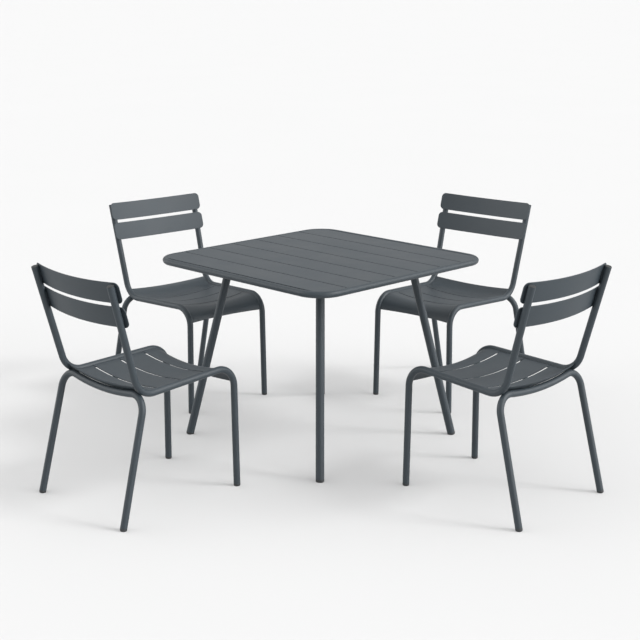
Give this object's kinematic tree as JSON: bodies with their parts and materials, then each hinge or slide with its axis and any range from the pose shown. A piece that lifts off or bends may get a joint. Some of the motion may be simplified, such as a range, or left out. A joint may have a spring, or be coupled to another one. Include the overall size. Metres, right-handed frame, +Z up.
{
  "type": "patio dining set",
  "caption": "Square slatted metal patio table with splayed tube legs, ringed by armless stacking chairs of bent tube with dished slat seats and bowed slat backs.",
  "frame": {"origin": "centre of the whole set's footprint, on the floor", "axes": "+Z up; the table's slats run along X; the chair with its back to -Y is the front chair, and the four chairs face the table along +Y, -X, +X and -Y"},
  "size_m": [2.3156, 2.3108, 0.8483],
  "materials": {
    "powder_coat_slate": "satin, fine texture",
    "plastic_dark": "matte",
    "bolt_steel": "zinc plated, satin"
  },
  "bodies": {
    "table": {"table_rim_tube": "powder_coat_slate", "table_bearers": "powder_coat_slate", "table_leg_plates": "powder_coat_slate", "table_bolts": "bolt_steel", "table_foot_glides": "plastic_dark", "table_top_slat_1": "powder_coat_slate", "table_top_slat_2": "powder_coat_slate", "table_top_slat_3": "powder_coat_slate", "table_top_slat_4": "powder_coat_slate", "table_top_slat_5": "powder_coat_slate", "table_top_slat_6": "powder_coat_slate", "table_top_slat_7": "powder_coat_slate", "table_leg_1": "powder_coat_slate", "table_leg_2": "powder_coat_slate", "table_leg_3": "powder_coat_slate", "table_leg_4": "powder_coat_slate"},
    "chair_front": {"chair_front_side_frame_right": "powder_coat_slate", "chair_front_side_frame_left": "powder_coat_slate", "chair_front_rear_leg_hoop": "powder_coat_slate", "chair_front_back_slat_upper": "powder_coat_slate", "chair_front_back_slat_lower": "powder_coat_slate", "chair_front_foot_glides": "plastic_dark", "chair_front_post_caps": "plastic_dark", "chair_front_seat_front_slat": "powder_coat_slate", "chair_front_seat_slat_2": "powder_coat_slate", "chair_front_seat_slat_3": "powder_coat_slate", "chair_front_seat_rear_slat": "powder_coat_slate"},
    "chair_right": {"chair_right_side_frame_right": "powder_coat_slate", "chair_right_side_frame_left": "powder_coat_slate", "chair_right_rear_leg_hoop": "powder_coat_slate", "chair_right_back_slat_upper": "powder_coat_slate", "chair_right_back_slat_lower": "powder_coat_slate", "chair_right_foot_glides": "plastic_dark", "chair_right_post_caps": "plastic_dark", "chair_right_seat_front_slat": "powder_coat_slate", "chair_right_seat_slat_2": "powder_coat_slate", "chair_right_seat_slat_3": "powder_coat_slate", "chair_right_seat_rear_slat": "powder_coat_slate"},
    "chair_left": {"chair_left_side_frame_right": "powder_coat_slate", "chair_left_side_frame_left": "powder_coat_slate", "chair_left_rear_leg_hoop": "powder_coat_slate", "chair_left_back_slat_upper": "powder_coat_slate", "chair_left_back_slat_lower": "powder_coat_slate", "chair_left_foot_glides": "plastic_dark", "chair_left_post_caps": "plastic_dark", "chair_left_seat_front_slat": "powder_coat_slate", "chair_left_seat_slat_2": "powder_coat_slate", "chair_left_seat_slat_3": "powder_coat_slate", "chair_left_seat_rear_slat": "powder_coat_slate"},
    "chair_back": {"chair_back_side_frame_right": "powder_coat_slate", "chair_back_side_frame_left": "powder_coat_slate", "chair_back_rear_leg_hoop": "powder_coat_slate", "chair_back_back_slat_upper": "powder_coat_slate", "chair_back_back_slat_lower": "powder_coat_slate", "chair_back_foot_glides": "plastic_dark", "chair_back_post_caps": "plastic_dark", "chair_back_seat_front_slat": "powder_coat_slate", "chair_back_seat_slat_2": "powder_coat_slate", "chair_back_seat_slat_3": "powder_coat_slate", "chair_back_seat_rear_slat": "powder_coat_slate"}
  },
  "joints": [
    {"name": "chair_front_slide", "type": "slide", "parent": "table", "child": "chair_front", "axis": [-0.0017, 1, 0], "range_m": [-0.4, 0.33]},
    {"name": "chair_right_slide", "type": "slide", "parent": "table", "child": "chair_right", "axis": [-1, -0.0035, 0], "range_m": [-0.4, 0.33]},
    {"name": "chair_left_slide", "type": "slide", "parent": "table", "child": "chair_left", "axis": [0.9983, -0.0576, 0], "range_m": [-0.4, 0.27]},
    {"name": "chair_back_slide", "type": "slide", "parent": "table", "child": "chair_back", "axis": [0.0645, -0.9979, 0], "range_m": [-0.4, 0.27]}
  ]
}
